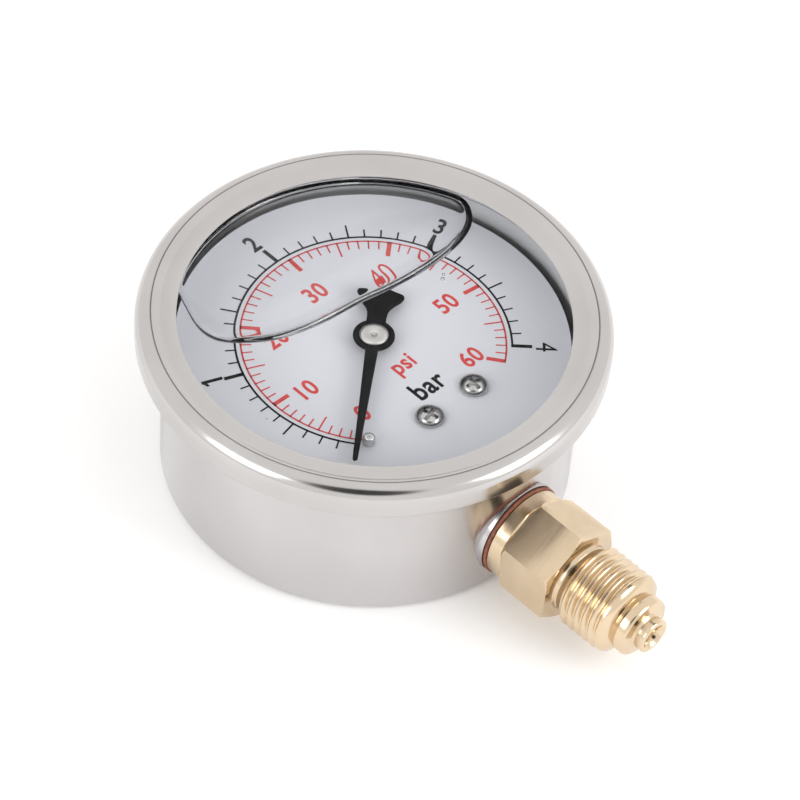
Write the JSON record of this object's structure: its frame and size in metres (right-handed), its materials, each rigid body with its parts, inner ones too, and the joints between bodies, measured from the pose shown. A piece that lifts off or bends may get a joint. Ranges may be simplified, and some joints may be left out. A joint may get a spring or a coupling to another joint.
{
  "type": "pressure gauge",
  "caption": "Liquid-filled pressure gauge: round steel case with crimped bezel, window, dial and pointer, C-shaped tube movement and a threaded brass stem at the bottom.",
  "frame": {"origin": "centre of the case back's outer face", "axes": "+Z out of the dial, -Y along the stem from the case to its free end, +Y towards the dial's top, +X to the dial's right"},
  "size_m": [0.07, 0.0933, 0.0307],
  "materials": {
    "stainless": "polished, lightly satin on the case wall",
    "glass": "clear",
    "rubber": "matte",
    "dial_white": "satin, with black and red printing",
    "brass": "machined",
    "bronze": "drawn",
    "fibre": "matte vulcanised fibre",
    "zinc_steel": "bright plated",
    "pointer_black": "satin"
  },
  "bodies": {
    "housing": {"case": "stainless", "bezel_ring": "stainless", "window": "glass", "window_gasket": "rubber", "fill_plug": "rubber", "stem": "brass", "stem_washer": "fibre", "case_seal": "rubber", "restrictor_screw": "brass", "tube_block": "brass", "bourdon_tube": "bronze", "movement_back_plate": "brass", "movement_front_plate": "brass", "movement_pillar_left": "brass", "movement_pillar_right": "brass", "movement_pillar_top": "brass", "movement_screw_left": "zinc_steel", "movement_screw_right": "zinc_steel", "hairspring": "bronze", "hairspring_stud": "brass", "dial": "dial_white", "dial_post_left": "brass", "dial_post_right": "brass", "dial_screw_left": "zinc_steel", "dial_screw_right": "zinc_steel", "stop_pin": "zinc_steel"},
    "tip": {"tube_tip": "brass"},
    "sector": {"sector_gear": "brass", "sector_shaft": "zinc_steel", "link_pin": "zinc_steel"},
    "rod": {"link": "zinc_steel"},
    "pointer": {"pinion_arbor": "zinc_steel", "hairspring_collet": "brass", "pointer": "pointer_black", "pointer_boss": "zinc_steel"}
  },
  "joints": [
    {"name": "sector_swing", "type": "hinge", "parent": "housing", "child": "sector", "pos_m": [0, -0.0126, 0], "axis": [0, 0, 1], "range_deg": [0, 45], "stiffness_Nm_per_rad": 0.003},
    {"name": "pointer_spin", "type": "hinge", "parent": "housing", "child": "pointer", "pos_m": [0, 0, 0], "axis": [0, 0, 1], "range_deg": [-270, 0]},
    {"name": "tip_swing", "type": "hinge", "parent": "housing", "child": "tip", "pos_m": [-0.00446, 0.00625, 0], "axis": [0, 0, 1], "range_deg": [0, 6.1], "deforming": ["bourdon_tube"]},
    {"name": "link_swing", "type": "hinge", "parent": "sector", "child": "rod", "pos_m": [0.001, -0.015, 0], "axis": [0, 0, 1], "range_deg": [-42.2, 0]}
  ],
  "couplings": [
    {"joint": "pointer_spin", "follows": "sector_swing", "ratio": -6},
    {"joint": "tip_swing", "follows": "sector_swing", "ratio": 0.1339},
    {"joint": "link_swing", "follows": "sector_swing", "ratio": -0.9347}
  ]
}
